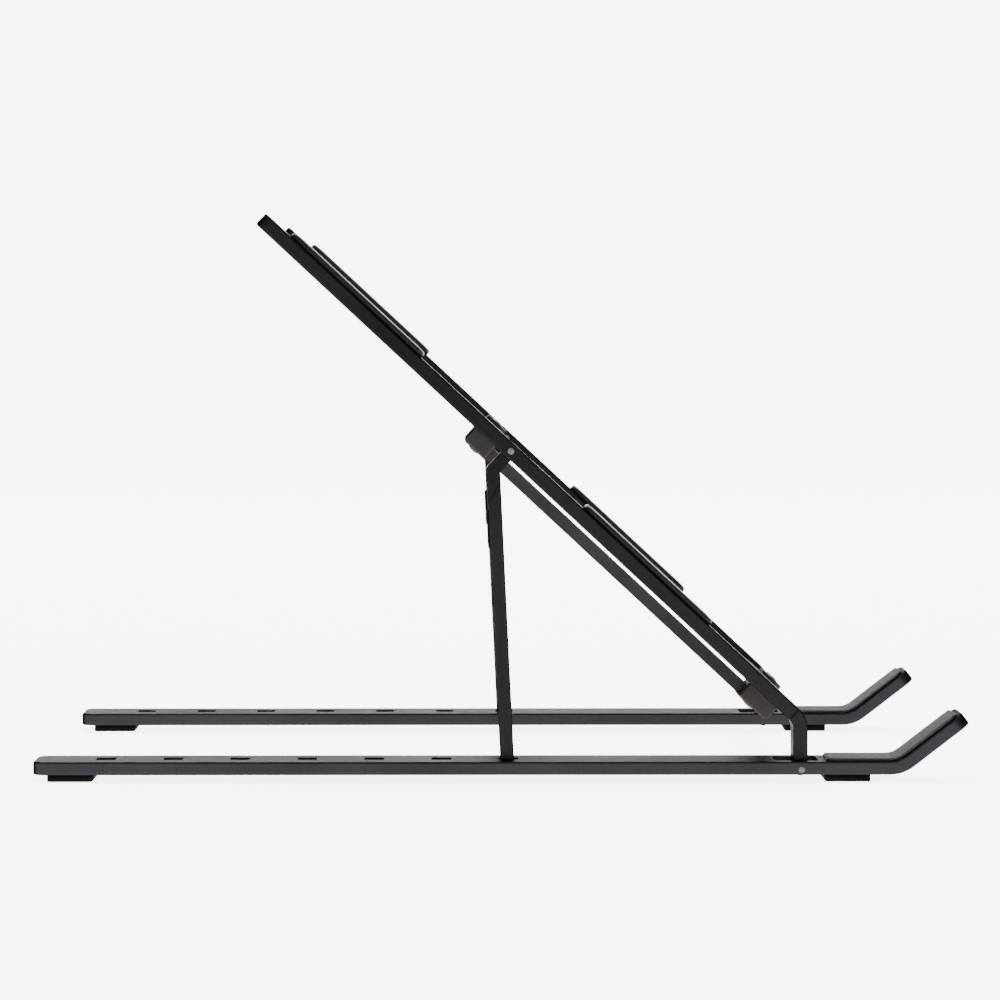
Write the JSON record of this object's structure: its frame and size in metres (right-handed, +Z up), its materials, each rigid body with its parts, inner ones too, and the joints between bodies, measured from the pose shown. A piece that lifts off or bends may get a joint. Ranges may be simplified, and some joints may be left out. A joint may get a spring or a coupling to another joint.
{
  "type": "laptop stand",
  "caption": "Folding laptop stand: slotted base rails with front hooks, two raised arms with pads, props that stand in the slots, and a folding brace between the arms.",
  "frame": {"origin": "middle of the footprint, on the surface that the feet stand on", "axes": "+X from the rear of the base to the hooks, +Z up, +Y to the user's right"},
  "size_m": [0.2624, 0.17, 0.1591],
  "materials": {
    "frame_alloy": "satin anodised",
    "steel_pin": "satin",
    "hook_rubber": "matte",
    "pad_rubber": "matte",
    "foot_rubber": "matte",
    "brace_alloy": "satin anodised"
  },
  "bodies": {
    "rail_left": {"left_base_rail": "frame_alloy", "left_hook_pad": "hook_rubber", "left_rear_foot": "foot_rubber", "left_front_foot": "foot_rubber", "left_front_pin": "steel_pin"},
    "arm_left": {"left_arm": "frame_alloy", "left_arm_leg": "frame_alloy", "left_upper_pad": "pad_rubber", "left_lower_pad": "pad_rubber", "left_prop_pin": "steel_pin", "left_upper_link_pin": "steel_pin", "left_lower_link_pin": "steel_pin"},
    "prop_left": {"left_prop_knuckle": "frame_alloy", "left_prop": "frame_alloy", "left_prop_bumper": "foot_rubber"},
    "upper_link_left": {"left_upper_link": "brace_alloy"},
    "lower_link_left": {"left_lower_link": "brace_alloy"},
    "rail_right": {"right_base_rail": "frame_alloy", "right_hook_pad": "hook_rubber", "right_rear_foot": "foot_rubber", "right_front_foot": "foot_rubber", "right_front_pin": "steel_pin"},
    "arm_right": {"right_arm": "frame_alloy", "right_arm_leg": "frame_alloy", "right_upper_pad": "pad_rubber", "right_lower_pad": "pad_rubber", "right_prop_pin": "steel_pin", "right_upper_link_pin": "steel_pin", "right_lower_link_pin": "steel_pin"},
    "prop_right": {"right_prop_knuckle": "frame_alloy", "right_prop": "frame_alloy", "right_prop_bumper": "foot_rubber"},
    "upper_link_right": {"right_upper_link": "brace_alloy"},
    "lower_link_right": {"right_lower_link": "brace_alloy"},
    "spine": {"brace_spine": "brace_alloy", "upper_hinge_block": "brace_alloy", "upper_hinge_plate": "brace_alloy", "upper_hinge_rivets": "steel_pin", "lower_hinge_block": "brace_alloy", "lower_hinge_plate": "brace_alloy", "lower_hinge_rivets": "steel_pin"}
  },
  "joints": [
    {"name": "arm_raise", "type": "hinge", "parent": "rail_left", "child": "arm_left", "pos_m": [0.0842, -0.075, 0.00355], "axis": [0, 1, 0], "range_deg": [0, 40]},
    {"name": "prop_left_swing", "type": "hinge", "parent": "arm_left", "child": "prop_left", "pos_m": [0.00278, -0.075, 0.09271], "axis": [0, -1, 0], "range_deg": [0, 44.35]},
    {"name": "prop_right_swing", "type": "hinge", "parent": "arm_right", "child": "prop_right", "pos_m": [0.00278, 0.075, 0.09271], "axis": [0, -1, 0], "range_deg": [0, 44.35]},
    {"name": "rail_right_hinge", "type": "hinge", "parent": "arm_right", "child": "rail_right", "pos_m": [0.0842, 0.075, 0.00355], "axis": [0, 1, 0], "range_deg": [-40, 0]},
    {"name": "brace_fold", "type": "hinge", "parent": "arm_left", "child": "upper_link_left", "pos_m": [-0.00205, -0.072, 0.0972], "axis": [0.6807, 0, 0.7325], "range_deg": [0, 84]},
    {"name": "lower_link_left_fold", "type": "hinge", "parent": "arm_left", "child": "lower_link_left", "pos_m": [0.07999, -0.072, 0.02096], "axis": [0.6807, 0, 0.7325], "range_deg": [0, 84]},
    {"name": "spine_hinge", "type": "hinge", "parent": "upper_link_left", "child": "spine", "pos_m": [-0.00205, -0.0052, 0.0972], "axis": [0.6807, 0, 0.7325], "range_deg": [-84, 0]},
    {"name": "upper_link_right_fold", "type": "hinge", "parent": "spine", "child": "upper_link_right", "pos_m": [-0.00205, 0.0052, 0.0972], "axis": [0.6807, 0, 0.7325], "range_deg": [-84, 0]},
    {"name": "lower_link_right_fold", "type": "hinge", "parent": "spine", "child": "lower_link_right", "pos_m": [0.07999, 0.0052, 0.02096], "axis": [0.6807, 0, 0.7325], "range_deg": [-84, 0]},
    {"name": "arm_right_hinge", "type": "hinge", "parent": "upper_link_right", "child": "arm_right", "pos_m": [-0.00205, 0.072, 0.0972], "axis": [0.6807, 0, 0.7325], "range_deg": [0, 84]}
  ],
  "couplings": [
    {"joint": "prop_left_swing", "follows": "arm_raise", "ratio": 1.1087},
    {"joint": "prop_right_swing", "follows": "arm_raise", "ratio": 1.1087},
    {"joint": "rail_right_hinge", "follows": "arm_raise", "ratio": -1},
    {"joint": "lower_link_left_fold", "follows": "brace_fold", "ratio": 1},
    {"joint": "spine_hinge", "follows": "brace_fold", "ratio": -1},
    {"joint": "upper_link_right_fold", "follows": "brace_fold", "ratio": -1},
    {"joint": "lower_link_right_fold", "follows": "brace_fold", "ratio": -1},
    {"joint": "arm_right_hinge", "follows": "brace_fold", "ratio": 1}
  ]
}
